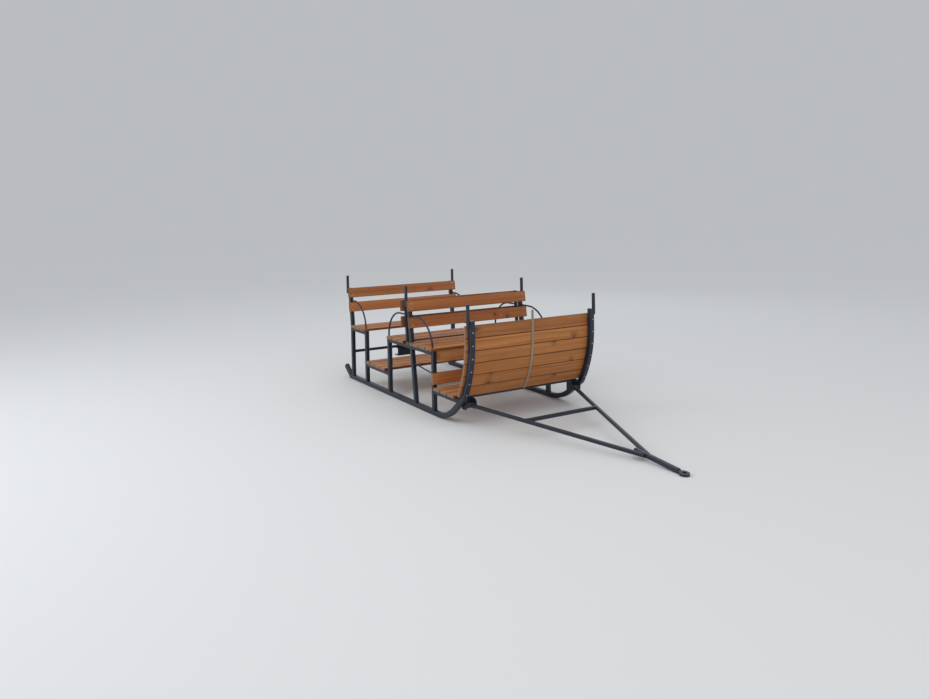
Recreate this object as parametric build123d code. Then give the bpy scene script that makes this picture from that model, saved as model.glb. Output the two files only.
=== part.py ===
from build123d import *
import math
import os

# Long passenger sleigh on two steel runners, drawn by a hinged A-frame drawbar.
# Millimetres. +X points forward to the drawbar, +Y to the left, +Z up, floor at Z = 0.
# Stations along X are measured from the rear legs and shifted to the middle of the length at the end.

# Square tube stock
RUNNER_TUBE = 40.0
LEG_TUBE = 35.0
REAR_FACING_POST_TUBE = 25.0
UPRIGHT_TUBE = 22.0
CROSS_BAR_TUBE = 25.0
FRONT_CROSS_TUBE = 25.0
TUBE_CORNER = 3.0

# Boards, all sawn to one section
BOARD_WIDTH = 95.0
BOARD_THICKNESS = 22.0
BOARD_GAP = 8.0
BOARD_EDGE = 2.5
REAR_SEAT_BOARD_COUNT = 3
REARWARD_SEAT_BOARD_COUNT = 3
FORWARD_SEAT_BOARD_COUNT = 4
REAR_DECK_BOARD_COUNT = 4
FRONT_DECK_BOARD_COUNT = 3
BOARD_OVERHANG = 20.0
NOTCH_CLEARANCE = 3.5

# Side frames
FRAME_OUTER_Y = 610.0
REAR_LEG_X = 0.0
REAR_SEAT_LEG_X = 312.0
MIDDLE_REAR_LEG_X = 780.0
MIDDLE_LEG_FOOT_X = 1247.0
MIDDLE_FRONT_LEG_X = 1544.0
SEAT_TOP = 546.0
REAR_DECK_TOP = 240.0
FRONT_DECK_TOP = 235.0
SEAT_TO_POST = 11.0

# Runner and dash rail, one tube
TAIL_JOINT_X = -55.0
TAIL_LENGTH = 152.0
TAIL_ANGLE = 36.0
TOE_RADIUS = 370.0
TOE_ANGLE = 40.0
TOE_BEHIND_HINGE = 53.5
DASH_RADIUS = 930.0
DASH_AHEAD_OF_HINGE = 132.0
DASH_JOINT_ABOVE_RAIL = 4.136
DASH_TOP_Z = 834.0

# Backrests
REAR_BACK_LEAN = 6.5
MIDDLE_BACK_LEAN = 6.5
REAR_FACING_BACK_LEAN = 4.3
REAR_BACK_RISE = 366.0
MIDDLE_BACK_RISE = 353.0
BACK_BOARDS_BELOW_TOP = (189.0, 49.0)
REAR_FACING_POST_SPACING = 76.5

# Short uprights on the outside of the posts and dash rails
UPRIGHT_LAP = 50.0
UPRIGHT_LENGTH = 176.0

# Armrests, bent bar
ARM_BAR = 16.0
ARM_BAR_SIDES = 12
REAR_ARM_RISE = 242.0
REAR_ARM_FOOT_X = 297.0
REAR_BEND_BELOW_SEAT_TOP = 8.0
MIDDLE_ARM_RISE = 227.0
FORWARD_ARM_FOOT_X = 1528.5
FORWARD_BEND_BELOW_SEAT_TOP = 18.0
REARWARD_ARM_FOOT_X = 771.0
REARWARD_ARM_BEND = 215.0

# Dash boards, centre strip, kick board and stays
DASH_BOARD_COUNT = 6
DASH_BOARD_PLAY = 0.16
DASH_FOOT_CLEARANCE = 3.6
STRIP_WIDTH = 20.0
STRIP_THICKNESS = 5.0
STRIP_RISE = 75.0
KICK_BOARD_Z = 304.0
STAY_BAR = 12.0
STAY_HIGH_Z = 371.0
STAY_LOW_Z = 332.0

# Rear cross bar and towing jaw
CROSS_BAR_Z = 280.0
JAW_WIDTH = 200.0
JAW_DEPTH = 78.0
JAW_HEIGHT = 84.0
JAW_PLATE = 8.0
JAW_BORE = 18.0
JAW_WEB_X = 28.0
JAW_BORE_X = -26.0

# Cross tube at the front of the front deck
FRONT_CROSS_CLEARANCE = 1.5
FRONT_CROSS_BELOW_RAIL_TOP = 7.5

# Drawbar hinge in front of the cross tube
HINGE_Z = 165.0
BACK_PLATE_SETBACK = 39.0
EAR_PLATE = 8.0
EAR_SPAN = 92.0
EAR_HEIGHT = 82.0
EAR_MIDDLE_Z = 171.0
EAR_NOSE = 21.0
EAR_CORNER = 22.0
PIN = 16.0
PIN_CLEARANCE = 0.1
PIN_HEAD = 24.0
PIN_HEAD_LENGTH = 6.0
BUSH = 34.0
BUSH_SIDE_CLEARANCE = 2.0

# Drawbar
DRAWBAR_TUBE = 25.0
TONGUE_TUBE = 30.0
DRAWBAR_LENGTH = 1550.0
DRAWBAR_TUBE_END = 1250.0
TONGUE_LAP = 93.0
BRACE_FROM_HINGE = 440.0
EYE_OUTER = 64.0
EYE_BORE = 28.0
EYE_THICKNESS = 16.0
EYE_SHANK = 28.0
EYE_SHANK_LENGTH = 44.0

# Values that follow from the sizes above
RUNNER_Y = FRAME_OUTER_Y - RUNNER_TUBE / 2
RUNNER_INNER_Y = FRAME_OUTER_Y - RUNNER_TUBE
FRAME_Y = FRAME_OUTER_Y - LEG_TUBE / 2
FRAME_INNER_Y = FRAME_OUTER_Y - LEG_TUBE
HALF_LEG = LEG_TUBE / 2
RAIL_TOP = SEAT_TOP - BOARD_THICKNESS
RAIL_BOTTOM = RAIL_TOP - LEG_TUBE
REAR_POST_TOP = SEAT_TOP + REAR_BACK_RISE
MIDDLE_POST_TOP = SEAT_TOP + MIDDLE_BACK_RISE
REAR_ARM_TOP_Z = SEAT_TOP + REAR_ARM_RISE
MIDDLE_ARM_TOP_Z = SEAT_TOP + MIDDLE_ARM_RISE
REAR_ARM_BEND = REAR_ARM_RISE + REAR_BEND_BELOW_SEAT_TOP
FORWARD_ARM_BEND = MIDDLE_ARM_RISE + FORWARD_BEND_BELOW_SEAT_TOP
BOARD_HALF = FRAME_OUTER_Y + BOARD_OVERHANG
BOARD_STEP = BOARD_WIDTH + BOARD_GAP
REAR_SLOPE = math.tan(math.radians(REAR_BACK_LEAN))
MIDDLE_SLOPE = math.tan(math.radians(MIDDLE_BACK_LEAN))
REAR_FACING_SLOPE = math.tan(math.radians(REAR_FACING_BACK_LEAN))
TOE_SIN = math.sin(math.radians(TOE_ANGLE))
TOE_COS = math.cos(math.radians(TOE_ANGLE))
FRONT_DECK_REAR_X = MIDDLE_FRONT_LEG_X + HALF_LEG + BOARD_THICKNESS
FRONT_DECK_FRONT_X = FRONT_DECK_REAR_X + FRONT_DECK_BOARD_COUNT * BOARD_STEP - BOARD_GAP
FRONT_RAIL_TOP = FRONT_DECK_TOP - BOARD_THICKNESS
FRONT_CROSS_X = FRONT_DECK_FRONT_X + FRONT_CROSS_CLEARANCE + FRONT_CROSS_TUBE / 2
FRONT_CROSS_Z = FRONT_RAIL_TOP - FRONT_CROSS_BELOW_RAIL_TOP + FRONT_CROSS_TUBE / 2

# The hinge stands ahead of the cross tube, and the front of the runners is set out from the hinge
BACK_PLATE_FRONT_X = FRONT_CROSS_X + FRONT_CROSS_TUBE / 2 + EAR_PLATE
HINGE_X = BACK_PLATE_FRONT_X + BACK_PLATE_SETBACK
TOE_AT_HINGE_X = HINGE_X - TOE_BEHIND_HINGE
DASH_STRAIGHT_X = HINGE_X + DASH_AHEAD_OF_HINGE
TOE_BEND_TOP_Z = RUNNER_TUBE / 2 + TOE_RADIUS * (1 - TOE_COS)
TOE_START_X = TOE_AT_HINGE_X - (HINGE_Z - TOE_BEND_TOP_Z) * TOE_COS / TOE_SIN - TOE_RADIUS * TOE_SIN
TOE_CENTRE = (TOE_START_X, RUNNER_TUBE / 2 + TOE_RADIUS)
DASH_JOINT_Z = FRONT_RAIL_TOP + DASH_JOINT_ABOVE_RAIL
DASH_JOINT_X = TOE_AT_HINGE_X + (DASH_JOINT_Z - HINGE_Z) * TOE_COS / TOE_SIN
DASH_CENTRE_X = DASH_STRAIGHT_X - DASH_RADIUS
DASH_STRAIGHT_LOW_Z = DASH_JOINT_Z + math.sqrt(DASH_RADIUS**2 - (DASH_JOINT_X - DASH_CENTRE_X) ** 2)
DASH_CENTRE = (DASH_CENTRE_X, DASH_STRAIGHT_LOW_Z)
DASH_HOLLOW_RADIUS = DASH_RADIUS - RUNNER_TUBE / 2
DASH_HOLLOW_X = DASH_STRAIGHT_X - RUNNER_TUBE / 2


def toe_end(offset):
    """Where the toe's bend ends, on a line set off from the middle line to the outside."""
    radius = TOE_RADIUS + offset
    return (TOE_CENTRE[0] + radius * TOE_SIN, TOE_CENTRE[1] - radius * TOE_COS)


def toe_meets_dash(offset):
    """Where the straight of the toe meets the dash rail's bend, on the same line."""
    x, z = toe_end(offset)
    x_off = x - DASH_CENTRE[0]
    z_off = z - DASH_CENTRE[1]
    along = x_off * TOE_COS + z_off * TOE_SIN
    short = x_off**2 + z_off**2 - (DASH_RADIUS + offset) ** 2
    run = math.sqrt(along**2 - short) - along
    return (x + run * TOE_COS, z + run * TOE_SIN)


def toe_x(height):
    """Station of the toe's middle line at a height of its straight."""
    return TOE_AT_HINGE_X + (height - HINGE_Z) * TOE_COS / TOE_SIN


def below_level(point):
    """How far round the dash rail's bend a point lies below the level of its centre, in radians."""
    return math.atan2(DASH_CENTRE[1] - point[1], point[0] - DASH_CENTRE[0])


# The dash boards start just above the joint of the toe and the dash rail
DASH_BOARD_GAP = (BOARD_THICKNESS - BOARD_EDGE) * BOARD_WIDTH / DASH_HOLLOW_RADIUS + DASH_BOARD_PLAY
DASH_STEP = BOARD_WIDTH + DASH_BOARD_GAP
DASH_FOOT_ARC = DASH_HOLLOW_RADIUS * below_level(toe_meets_dash(-RUNNER_TUBE / 2)) - DASH_FOOT_CLEARANCE
DASH_BOARDS_TOP_Z = DASH_STRAIGHT_LOW_Z - DASH_FOOT_ARC + DASH_BOARD_COUNT * DASH_STEP - DASH_BOARD_GAP

# The drawbar rests with the tip of its eye on the floor
HINGE_Y = RUNNER_INNER_Y - EAR_SPAN / 2
EYE_TIP = DRAWBAR_LENGTH + EYE_OUTER / 2
REST_REACH = math.hypot(EYE_TIP, EYE_THICKNESS / 2)
REST_DROP = math.degrees(math.asin(HINGE_Z / REST_REACH) - math.atan2(EYE_THICKNESS / 2, EYE_TIP))

REAR_END_X = TAIL_JOINT_X - TAIL_LENGTH * math.cos(math.radians(TAIL_ANGLE))
REAR_END_X -= RUNNER_TUBE / 2 * math.sin(math.radians(TAIL_ANGLE))
FRONT_END_X = HINGE_X + EYE_TIP * math.cos(math.radians(REST_DROP))
FRONT_END_X += EYE_THICKNESS / 2 * math.sin(math.radians(REST_DROP))
MIDDLE_X = (REAR_END_X + FRONT_END_X) / 2


def side_plate(profile, y, width):
    """A profile drawn with X across and Z up, made width thick and centred on y."""
    return Pos(0, y, 0) * extrude(Plane.XZ * profile, amount=width / 2, both=True)


def tube(start, end, width, height, side=(0, 1, 0)):
    """A straight tube with eased corners. Its width lies along the given side direction."""
    start = Vector(*start)
    end = Vector(*end)
    section = Plane(origin=start, x_dir=Vector(*side), z_dir=end - start)
    profile = chamfer(Rectangle(width, height).vertices(), TUBE_CORNER)
    return extrude(section * profile, amount=(end - start).length)


def between_heights(solid, low, high):
    """The part of a solid between two level cuts."""
    reach = 4000
    slab = Pos(0, 0, (low + high) / 2) * Box(2 * reach, reach, high - low)
    return solid & slab


def leaning_x(x, z, slope, height):
    """Where a line that passes through (x, z) and leans back by slope stands at a height."""
    return x - slope * (height - z)


def leaning_tube(x, z, slope, low, high, size, y):
    """A square tube along such a line, cut level at both ends."""
    over = 2 * size
    start = (leaning_x(x, z, slope, low - over), y, low - over)
    end = (leaning_x(x, z, slope, high + over), y, high + over)
    return between_heights(tube(start, end, size, size), low, high)


def board(x, z, half_length, tilt=0.0):
    """A board across the sleigh. At no tilt it lies flat with its width along X."""
    blank = Box(BOARD_WIDTH, 2 * half_length, BOARD_THICKNESS)
    blank = chamfer(blank.edges().filter_by(Axis.Y), BOARD_EDGE)
    return Pos(x, 0, z) * Rot(0, -tilt, 0) * blank


def both_sides(solid):
    """A right-hand piece and its mirror image on the left."""
    return Compound([*solid.solids(), *mirror(solid, about=Plane.XZ).solids()])


def runner_outline():
    """Side view of the upturned tail, the sole, the toe and the dash rail."""
    half = RUNNER_TUBE / 2
    turn = math.radians(TAIL_ANGLE)
    mitre = half * math.tan(turn / 2)
    tip = (TAIL_JOINT_X - TAIL_LENGTH * math.cos(turn), half + TAIL_LENGTH * math.sin(turn))
    side = (half * math.sin(turn), half * math.cos(turn))
    high_tip = (tip[0] + side[0], tip[1] + side[1])
    low_tip = (tip[0] - side[0], tip[1] - side[1])
    toe_low = CenterArc(TOE_CENTRE, TOE_RADIUS + half, -90, TOE_ANGLE)
    toe_high = CenterArc(TOE_CENTRE, TOE_RADIUS - half, -90, TOE_ANGLE)
    low_turn = math.degrees(below_level(toe_meets_dash(half)))
    high_turn = math.degrees(below_level(toe_meets_dash(-half)))
    dash_low = CenterArc(DASH_CENTRE, DASH_RADIUS + half, -low_turn, low_turn)
    dash_high = CenterArc(DASH_CENTRE, DASH_RADIUS - half, -high_turn, high_turn)
    low_top = (DASH_STRAIGHT_X + half, DASH_TOP_Z)
    high_top = (DASH_STRAIGHT_X - half, DASH_TOP_Z)
    edges = [
        Line(low_tip, (TAIL_JOINT_X - mitre, 0)),
        Line((TAIL_JOINT_X - mitre, 0), toe_low @ 0),
        toe_low,
        Line(toe_low @ 1, dash_low @ 0),
        dash_low,
        Line(dash_low @ 1, low_top),
        Line(low_top, high_top),
        Line(high_top, dash_high @ 1),
        dash_high,
        Line(dash_high @ 0, toe_high @ 1),
        toe_high,
        Line(toe_high @ 0, (TAIL_JOINT_X + mitre, RUNNER_TUBE)),
        Line((TAIL_JOINT_X + mitre, RUNNER_TUBE), high_tip),
        Line(high_tip, low_tip),
    ]
    return make_face(Wire(edges))


def armrest(start_x, top_z, foot_x, bend, post):
    """Bar from a back post to a bend and down to the top of a leg or rail."""
    foot = (foot_x, RAIL_TOP - 2 * ARM_BAR)
    path = Plane.XZ * FilletPolyline((start_x, top_z), (foot_x, top_z), foot, radius=bend)
    heading = 1 if foot_x > start_x else -1
    section = Plane(origin=(start_x, 0, top_z), x_dir=(0, 1, 0), z_dir=(heading, 0, 0))
    bar = sweep(section * RegularPolygon(ARM_BAR / 2, ARM_BAR_SIDES), path=path)
    return between_heights(Pos(0, -FRAME_Y, 0) * bar, RAIL_TOP, REAR_POST_TOP) - post


def dash_hollow_point(along):
    """A point of the dash rails' hollow side, at a distance along it from the foot of the boards."""
    angle = (min(along, DASH_FOOT_ARC) - DASH_FOOT_ARC) / DASH_HOLLOW_RADIUS
    rise = max(along - DASH_FOOT_ARC, 0)
    x = DASH_CENTRE[0] + DASH_HOLLOW_RADIUS * math.cos(angle)
    z = DASH_CENTRE[1] + DASH_HOLLOW_RADIUS * math.sin(angle) + rise
    return (x, z)


def drawbar_point(along, y, up=0.0):
    """A point of the drawbar, from distances measured along and above its own plane."""
    drop = math.radians(REST_DROP)
    x = HINGE_X + along * math.cos(drop) + up * math.sin(drop)
    z = HINGE_Z - along * math.sin(drop) + up * math.cos(drop)
    return (x, y, z)


drawbar_up = Vector(*drawbar_point(0, 0, 1)) - Vector(*drawbar_point(0, 0, 0))
drawbar_forward = Vector(*drawbar_point(1, 0)) - Vector(*drawbar_point(0, 0))
drawbar_plane = Plane(origin=drawbar_point(0, 0), x_dir=drawbar_forward, z_dir=drawbar_up)

parts = {}

# Runners with the dash rails
runner = side_plate(runner_outline(), 0, RUNNER_TUBE)
side_edges = runner.edges().filter_by(Axis.Y, reverse=True)
runner = chamfer(side_edges, TUBE_CORNER)
parts["runner_right"] = Pos(0, -RUNNER_Y, 0) * runner
parts["runner_left"] = Pos(0, RUNNER_Y, 0) * runner

# Rear posts, upright below the seat and leaning back above it
lower_rear_post = tube(
    (REAR_LEG_X, -FRAME_Y, RUNNER_TUBE), (REAR_LEG_X, -FRAME_Y, RAIL_TOP), LEG_TUBE, LEG_TUBE
)
upper_rear_post = leaning_tube(REAR_LEG_X, RAIL_TOP, REAR_SLOPE, RAIL_TOP, REAR_POST_TOP, LEG_TUBE, -FRAME_Y)
rear_post = lower_rear_post + upper_rear_post
parts["rear_back_posts"] = both_sides(rear_post)

# Upright legs
# Columns: node name, station along X, top height
leg_table = (
    ("rear_seat_front_legs", REAR_SEAT_LEG_X, RAIL_TOP),
    ("middle_seat_rear_legs", MIDDLE_REAR_LEG_X, RAIL_BOTTOM),
    ("middle_seat_front_legs", MIDDLE_FRONT_LEG_X, RAIL_TOP),
)
for name, x, top in leg_table:
    parts[name] = both_sides(tube((x, -FRAME_Y, RUNNER_TUBE), (x, -FRAME_Y, top), LEG_TUBE, LEG_TUBE))

# Leaning legs and back posts of the middle seat
forward_post_x = leaning_x(MIDDLE_LEG_FOOT_X, RUNNER_TUBE, MIDDLE_SLOPE, RAIL_TOP)
rearward_post_x = forward_post_x - REAR_FACING_POST_SPACING
centre_leg = leaning_tube(
    MIDDLE_LEG_FOOT_X, RUNNER_TUBE, MIDDLE_SLOPE, RUNNER_TUBE, RAIL_BOTTOM, LEG_TUBE, -FRAME_Y
)
forward_post = leaning_tube(
    forward_post_x, RAIL_TOP, MIDDLE_SLOPE, RAIL_TOP, MIDDLE_POST_TOP, LEG_TUBE, -FRAME_Y
)
rearward_post = leaning_tube(
    rearward_post_x, RAIL_TOP, REAR_FACING_SLOPE, RAIL_TOP, MIDDLE_POST_TOP, REAR_FACING_POST_TUBE, -FRAME_Y
)
parts["middle_seat_centre_legs"] = both_sides(centre_leg)
parts["forward_back_posts"] = both_sides(forward_post)
parts["rearward_back_posts"] = both_sides(rearward_post)

# Seat rails and deck rails along the sides
seat_rail_z = RAIL_TOP - LEG_TUBE / 2
rear_deck_rail_z = REAR_DECK_TOP - BOARD_THICKNESS - LEG_TUBE / 2
front_deck_rail_z = FRONT_RAIL_TOP - LEG_TUBE / 2
# Columns: node name, rear end, front end, height of the middle line
rail_table = (
    ("rear_seat_rails", REAR_LEG_X + HALF_LEG, REAR_SEAT_LEG_X - HALF_LEG, seat_rail_z),
    ("middle_seat_rails", MIDDLE_REAR_LEG_X - HALF_LEG, MIDDLE_FRONT_LEG_X - HALF_LEG, seat_rail_z),
    ("rear_deck_rails", REAR_SEAT_LEG_X + HALF_LEG, MIDDLE_REAR_LEG_X - HALF_LEG, rear_deck_rail_z),
    ("front_deck_rails", MIDDLE_FRONT_LEG_X + HALF_LEG, toe_x(front_deck_rail_z), front_deck_rail_z),
)
runner_cut = side_plate(runner_outline(), -FRAME_Y, 2 * RUNNER_TUBE)
for name, rear, front, z in rail_table:
    rail = tube((rear, -FRAME_Y, z), (front, -FRAME_Y, z), LEG_TUBE, LEG_TUBE)
    parts[name] = both_sides(rail - runner_cut)

# Seat and deck boards
seat_z = SEAT_TOP - BOARD_THICKNESS / 2
rear_deck_z = REAR_DECK_TOP - BOARD_THICKNESS / 2
front_deck_z = FRONT_DECK_TOP - BOARD_THICKNESS / 2
leg_front_x = MIDDLE_FRONT_LEG_X + HALF_LEG
rear_seat_rear_x = REAR_LEG_X + HALF_LEG + SEAT_TO_POST
rearward_seat_front_x = rearward_post_x - REAR_FACING_POST_TUBE / 2 - SEAT_TO_POST
rearward_seat_rear_x = rearward_seat_front_x - REARWARD_SEAT_BOARD_COUNT * BOARD_STEP + BOARD_GAP
forward_seat_rear_x = leg_front_x - FORWARD_SEAT_BOARD_COUNT * BOARD_STEP + BOARD_GAP
# Columns: node name, rear edge, number of boards, height
board_table = (
    ("rear_seat_boards", rear_seat_rear_x, REAR_SEAT_BOARD_COUNT, seat_z),
    ("rearward_seat_boards", rearward_seat_rear_x, REARWARD_SEAT_BOARD_COUNT, seat_z),
    ("forward_seat_boards", forward_seat_rear_x, FORWARD_SEAT_BOARD_COUNT, seat_z),
    ("rear_deck_boards", REAR_SEAT_LEG_X + HALF_LEG, REAR_DECK_BOARD_COUNT, rear_deck_z),
    ("front_deck_boards", FRONT_DECK_REAR_X, FRONT_DECK_BOARD_COUNT, front_deck_z),
)
# Notches in the board ends for the forward back posts and the armrest feet
post_room_x = leaning_x(forward_post_x, RAIL_TOP, MIDDLE_SLOPE, seat_z)
# Columns: node name, station, half of the filled width, innermost filled Y
notch_table = (
    ("rear_seat_boards", REAR_ARM_FOOT_X, ARM_BAR / 2, FRAME_Y - ARM_BAR / 2),
    ("forward_seat_boards", post_room_x, HALF_LEG, FRAME_INNER_Y),
    ("forward_seat_boards", FORWARD_ARM_FOOT_X, ARM_BAR / 2, FRAME_Y - ARM_BAR / 2),
)
for name, rear, count, z in board_table:
    boards = []
    for i in range(count):
        plank = board(rear + BOARD_WIDTH / 2 + i * BOARD_STEP, z, BOARD_HALF)
        for owner, notch_x, half_width, inner_y in notch_table:
            if owner == name:
                depth = 2 * (BOARD_HALF - inner_y + NOTCH_CLEARANCE)
                cut = Box(2 * (half_width + NOTCH_CLEARANCE), depth, 2 * BOARD_THICKNESS)
                plank = plank - Pos(notch_x, BOARD_HALF, z) * cut
                plank = plank - Pos(notch_x, -BOARD_HALF, z) * cut
        boards.append(plank)
    parts[name] = Compound([solid for plank in boards for solid in plank.solids()])

# Kick board in front of the front legs and apron between them
parts["kick_board"] = board(leg_front_x + BOARD_THICKNESS / 2, KICK_BOARD_Z, BOARD_HALF, 90)
parts["seat_apron"] = board(leg_front_x - BOARD_THICKNESS / 2, RAIL_TOP - BOARD_WIDTH / 2, FRAME_INNER_Y, 90)

# Backrest boards, on the sitter's side of their posts
# Columns: node name, post station at the seat rail, lean, post top, post tube, side of the post
back_table = (
    ("rear_backrest_boards", REAR_LEG_X, REAR_BACK_LEAN, REAR_POST_TOP, LEG_TUBE, 1),
    ("forward_backrest_boards", forward_post_x, MIDDLE_BACK_LEAN, MIDDLE_POST_TOP, LEG_TUBE, 1),
    (
        "rearward_backrest_boards",
        rearward_post_x,
        REAR_FACING_BACK_LEAN,
        MIDDLE_POST_TOP,
        REAR_FACING_POST_TUBE,
        -1,
    ),
)
for name, station, lean, post_top, post_tube, side in back_table:
    tilt = math.radians(lean)
    out = side * (post_tube + BOARD_THICKNESS) / 2
    boards = []
    for below in BACK_BOARDS_BELOW_TOP:
        height = post_top - below
        x = leaning_x(station, RAIL_TOP, math.tan(tilt), height) + out * math.cos(tilt)
        boards.append(board(x, height + out * math.sin(tilt), BOARD_HALF, lean + 90))
    parts[name] = Compound([solid for plank in boards for solid in plank.solids()])

# Dash boards, each flat, set round the hollow side of the dash rails and up their straight tops
half_face = BOARD_WIDTH / 2 - BOARD_EDGE
dash_boards = []
for i in range(DASH_BOARD_COUNT):
    along = BOARD_WIDTH / 2 + i * DASH_STEP
    low_x, low_z = dash_hollow_point(along - half_face)
    high_x, high_z = dash_hollow_point(along + half_face)
    heading = math.atan2(high_z - low_z, high_x - low_x)
    x = (low_x + high_x) / 2 - BOARD_THICKNESS / 2 * math.sin(heading)
    z = (low_z + high_z) / 2 + BOARD_THICKNESS / 2 * math.cos(heading)
    dash_boards.append(board(x, z, BOARD_HALF, math.degrees(heading)))
parts["dash_boards"] = Compound([solid for plank in dash_boards for solid in plank.solids()])

# Flat strip over the middle of the dash
strip_top_z = DASH_BOARDS_TOP_Z + STRIP_RISE
strip_low = -DASH_FOOT_ARC / DASH_HOLLOW_RADIUS
strip_reach = 2 * DASH_RADIUS
strip_ring = Circle(DASH_HOLLOW_RADIUS + STRIP_THICKNESS) - Circle(DASH_HOLLOW_RADIUS)
strip_wedge = Polygon(
    (0, 0),
    (strip_reach * math.cos(strip_low), strip_reach * math.sin(strip_low)),
    (strip_reach, 0),
    align=None,
)
strip_straight = Rectangle(STRIP_THICKNESS, strip_top_z - DASH_STRAIGHT_LOW_Z)
strip_middle_z = (DASH_STRAIGHT_LOW_Z + strip_top_z) / 2
strip_straight = Pos(DASH_HOLLOW_X + STRIP_THICKNESS / 2, strip_middle_z) * strip_straight
strip_outline = Pos(*DASH_CENTRE) * (strip_ring & strip_wedge) + strip_straight
parts["dash_centre_strip"] = side_plate(strip_outline, 0, STRIP_WIDTH)

# Cross tube between the front deck rails, behind the drawbar hinges
parts["front_cross_tube"] = tube(
    (FRONT_CROSS_X, -FRAME_INNER_Y, FRONT_CROSS_Z),
    (FRONT_CROSS_X, FRAME_INNER_Y, FRONT_CROSS_Z),
    FRONT_CROSS_TUBE,
    FRONT_CROSS_TUBE,
    side=(1, 0, 0),
)

# Thin stays from the centre legs down to the front legs
stay_rear_x = leaning_x(forward_post_x, RAIL_TOP, MIDDLE_SLOPE, STAY_HIGH_Z)
stay_start = Vector(stay_rear_x, -FRAME_Y, STAY_HIGH_Z)
stay_run = Vector(MIDDLE_FRONT_LEG_X, -FRAME_Y, STAY_LOW_Z) - stay_start
stay_section = Plane(origin=stay_start, x_dir=(0, 1, 0), z_dir=stay_run)
stay = extrude(stay_section * Circle(STAY_BAR / 2), amount=stay_run.length)
front_leg = tube(
    (MIDDLE_FRONT_LEG_X, -FRAME_Y, RUNNER_TUBE), (MIDDLE_FRONT_LEG_X, -FRAME_Y, RAIL_TOP), LEG_TUBE, LEG_TUBE
)
stay = stay - centre_leg - front_leg
parts["leg_stays"] = both_sides(stay)

# Short uprights lapped on the outside of the posts and dash rails
# Columns: node name, station at the seat rail, slope of the post, top of the post
upright_table = (
    ("rear_uprights", REAR_LEG_X, REAR_SLOPE, REAR_POST_TOP),
    ("middle_uprights", forward_post_x, MIDDLE_SLOPE, MIDDLE_POST_TOP),
    ("dash_uprights", DASH_STRAIGHT_X, 0, DASH_TOP_Z),
)
for name, station, slope, top in upright_table:
    x = leaning_x(station, RAIL_TOP, slope, top - UPRIGHT_LAP / 2)
    y = -(FRAME_OUTER_Y + UPRIGHT_TUBE / 2)
    low = top - UPRIGHT_LAP
    parts[name] = both_sides(tube((x, y, low), (x, y, low + UPRIGHT_LENGTH), UPRIGHT_TUBE, UPRIGHT_TUBE))

# Armrests
rear_arm_start = leaning_x(REAR_LEG_X, RAIL_TOP, REAR_SLOPE, REAR_ARM_TOP_Z)
forward_arm_start = leaning_x(forward_post_x, RAIL_TOP, MIDDLE_SLOPE, MIDDLE_ARM_TOP_Z)
rearward_arm_start = leaning_x(rearward_post_x, RAIL_TOP, REAR_FACING_SLOPE, MIDDLE_ARM_TOP_Z)
# Columns: node name, start in the post, height, foot, bend radius, post
arm_table = (
    ("rear_armrests", rear_arm_start, REAR_ARM_TOP_Z, REAR_ARM_FOOT_X, REAR_ARM_BEND, rear_post),
    (
        "forward_armrests",
        forward_arm_start,
        MIDDLE_ARM_TOP_Z,
        FORWARD_ARM_FOOT_X,
        FORWARD_ARM_BEND,
        forward_post,
    ),
    (
        "rearward_armrests",
        rearward_arm_start,
        MIDDLE_ARM_TOP_Z,
        REARWARD_ARM_FOOT_X,
        REARWARD_ARM_BEND,
        rearward_post,
    ),
)
for name, start, top, foot, bend, post in arm_table:
    parts[name] = both_sides(armrest(start, top, foot, bend, post))

# Rear cross bar and the towing jaw under it
parts["rear_cross_bar"] = tube(
    (REAR_LEG_X, -FRAME_INNER_Y, CROSS_BAR_Z),
    (REAR_LEG_X, FRAME_INNER_Y, CROSS_BAR_Z),
    CROSS_BAR_TUBE,
    CROSS_BAR_TUBE,
    side=(1, 0, 0),
)
jaw_z = CROSS_BAR_Z - CROSS_BAR_TUBE / 2 - JAW_HEIGHT / 2
jaw_block = Pos(JAW_WEB_X - JAW_DEPTH / 2, 0, jaw_z) * Box(JAW_DEPTH, JAW_WIDTH, JAW_HEIGHT)
jaw_slot = Pos(JAW_WEB_X - JAW_PLATE - JAW_DEPTH / 2, 0, jaw_z) * Box(
    JAW_DEPTH, 2 * JAW_WIDTH, JAW_HEIGHT - 2 * JAW_PLATE
)
jaw_hole = Pos(JAW_BORE_X, 0, jaw_z) * Cylinder(JAW_BORE / 2, 2 * JAW_HEIGHT)
parts["rear_towing_jaw"] = jaw_block - jaw_slot - jaw_hole

# Hinge brackets for the drawbar, each a back plate with two ears, and their pins
ear_back_x = BACK_PLATE_FRONT_X - EAR_PLATE
ear_front_x = HINGE_X + EAR_NOSE
ear_low_z = EAR_MIDDLE_Z - EAR_HEIGHT / 2
ear_high_z = EAR_MIDDLE_Z + EAR_HEIGHT / 2
ear_outline = Polygon(
    (ear_back_x, ear_low_z),
    (ear_front_x - EAR_CORNER, ear_low_z),
    (ear_front_x, ear_low_z + EAR_CORNER),
    (ear_front_x, ear_high_z - EAR_CORNER),
    (ear_front_x - EAR_CORNER, ear_high_z),
    (ear_back_x, ear_high_z),
    align=None,
)
ear_outline -= Pos(HINGE_X, HINGE_Z) * Circle(PIN / 2 + PIN_CLEARANCE)
inner_ear = side_plate(ear_outline, -(RUNNER_INNER_Y - EAR_SPAN + EAR_PLATE / 2), EAR_PLATE)
outer_ear = side_plate(ear_outline, -(RUNNER_INNER_Y - EAR_PLATE / 2), EAR_PLATE)
back_plate = Box(EAR_PLATE, EAR_SPAN, EAR_HEIGHT)
back_plate = Pos(BACK_PLATE_FRONT_X - EAR_PLATE / 2, -HINGE_Y, EAR_MIDDLE_Z) * back_plate
parts["drawbar_hinge_brackets"] = both_sides(outer_ear + back_plate + inner_ear)

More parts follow.
